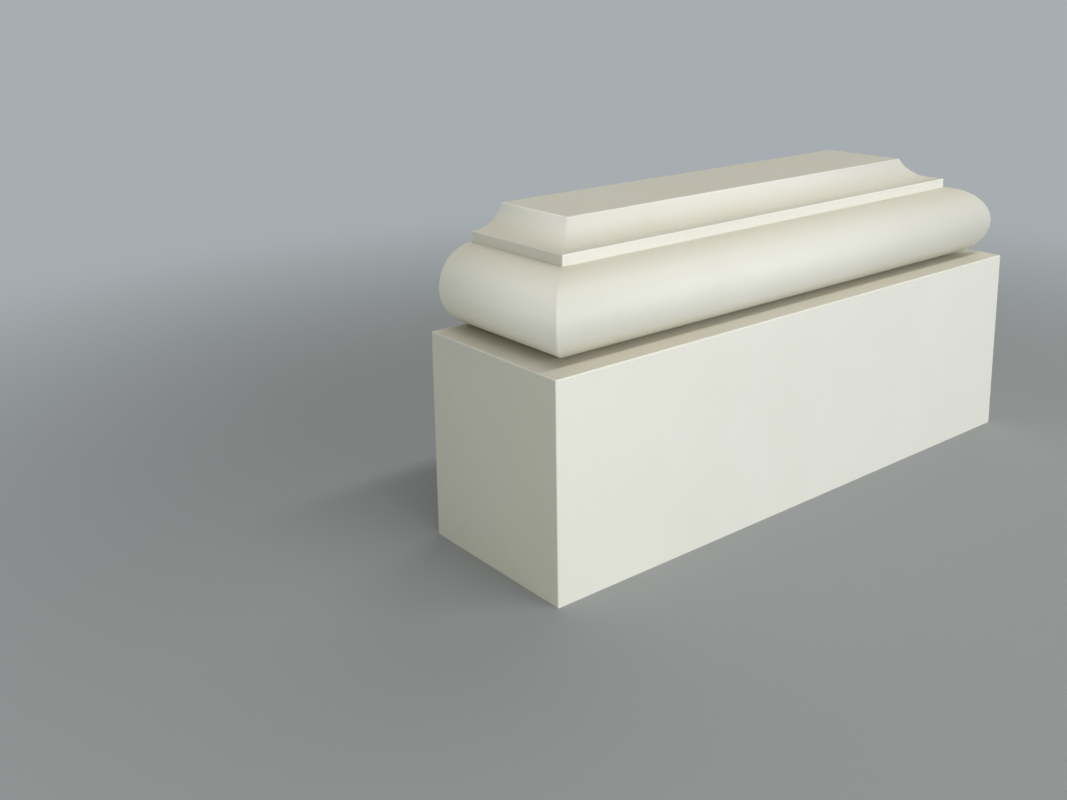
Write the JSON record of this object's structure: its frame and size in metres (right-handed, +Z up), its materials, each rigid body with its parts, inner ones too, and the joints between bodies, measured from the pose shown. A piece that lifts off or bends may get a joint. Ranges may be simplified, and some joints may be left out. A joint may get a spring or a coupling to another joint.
{
  "type": "pilaster base",
  "caption": "Base for a flat wall pilaster: a plinth block under a torus, fillet and cavetto moulding that returns to the wall, with a flat seat for the shaft.",
  "frame": {"origin": "middle of the underside, where the plinth stands on the floor", "axes": "+X along the wall, to the right of someone who faces it; +Y into the wall, so the back lies in a plane of constant Y; +Z up"},
  "size_m": [0.4018, 0.11, 0.191],
  "materials": {
    "plinth": "smooth off-white satin paint on a solid plaster casting, with barely rounded edges",
    "base_moulding": "the same smooth off-white satin paint on a solid plaster casting"
  },
  "bodies": {
    "root": {"plinth": "plinth", "base_moulding": "base_moulding"}
  },
  "joints": []
}
